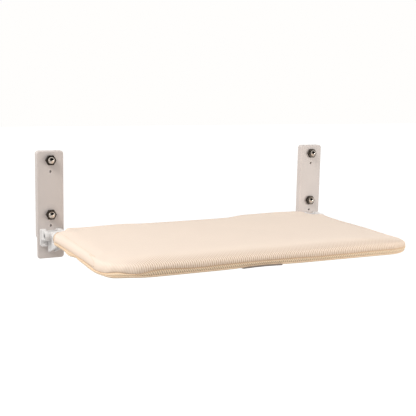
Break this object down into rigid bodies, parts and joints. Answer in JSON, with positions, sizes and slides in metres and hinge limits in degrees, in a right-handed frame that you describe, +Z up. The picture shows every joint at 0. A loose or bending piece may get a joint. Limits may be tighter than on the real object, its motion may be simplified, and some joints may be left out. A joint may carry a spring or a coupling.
{
  "type": "wall mounted cat hammock",
  "caption": "Fold-up cat hammock for a wall: padded shelf in an air-mesh cover on hinged arms, carried by two moulded wall plates with dome nuts.",
  "frame": {"origin": "on the wall plane, midway between the two wall plates, level with the hinge axis", "axes": "+X along the wall towards the right plate, +Y into the wall, +Z up; the shelf reaches out along -Y"},
  "size_m": [0.5606, 0.3268, 0.182],
  "materials": {
    "plate": "fine moulded texture, warm light grey",
    "hinge": "satin moulded white",
    "chrome": "polished",
    "steel": "zinc plated",
    "tube": "white powder coat",
    "mesh": "beige air mesh",
    "band": "beige air mesh, side band",
    "foam": "open-cell foam",
    "tab": "dark webbing",
    "zip": "woven tape with a nylon coil",
    "zip_metal": "enamelled die casting"
  },
  "bodies": {
    "wall_side": {"left_wall_plate": "plate", "left_back_strap": "steel", "left_lower_plate_bolt": "steel", "left_upper_plate_bolt": "steel", "left_lower_dome_nut": "chrome", "left_upper_dome_nut": "chrome", "left_hinge_bracket": "hinge", "left_pivot_bolt": "steel", "left_pivot_nut": "steel", "left_thrust_washer_outer": "hinge", "left_thrust_washer_inner": "hinge", "left_bracket_screw_outer_upper": "steel", "left_bracket_screw_outer_lower": "steel", "left_bracket_screw_inner_upper": "steel", "left_bracket_screw_inner_lower": "steel", "right_wall_plate": "plate", "right_back_strap": "steel", "right_lower_plate_bolt": "steel", "right_upper_plate_bolt": "steel", "right_lower_dome_nut": "chrome", "right_upper_dome_nut": "chrome", "right_hinge_bracket": "hinge", "right_pivot_bolt": "steel", "right_pivot_nut": "steel", "right_thrust_washer_outer": "hinge", "right_thrust_washer_inner": "hinge", "right_bracket_screw_outer_upper": "steel", "right_bracket_screw_outer_lower": "steel", "right_bracket_screw_inner_upper": "steel", "right_bracket_screw_inner_lower": "steel"},
    "shelf": {"left_knuckle": "hinge", "right_knuckle": "hinge", "left_arm_screw": "steel", "right_arm_screw": "steel", "frame_rail": "tube", "rear_bow": "tube", "centre_brace": "tube", "foam_pad": "foam", "cover_top": "mesh", "cover_band": "band", "cover_bottom": "mesh", "front_tab": "tab", "zip_tape": "zip"},
    "slider": {"zip_slider": "zip_metal"},
    "pull": {"zip_pull": "zip_metal"}
  },
  "joints": [
    {"name": "shelf_fold", "type": "hinge", "parent": "wall_side", "child": "shelf", "pos_m": [0, -0.036, 0], "axis": [-1, 0, 0], "range_deg": [0, 90]},
    {"name": "zip_slide", "type": "slide", "parent": "shelf", "child": "slider", "axis": [1, 0, 0], "range_m": [0, 0.352]},
    {"name": "pull_swing", "type": "hinge", "parent": "slider", "child": "pull", "pos_m": [-0.176, -0.092, -0.0142], "axis": [0, -1, 0], "range_deg": [-80, 80]}
  ]
}
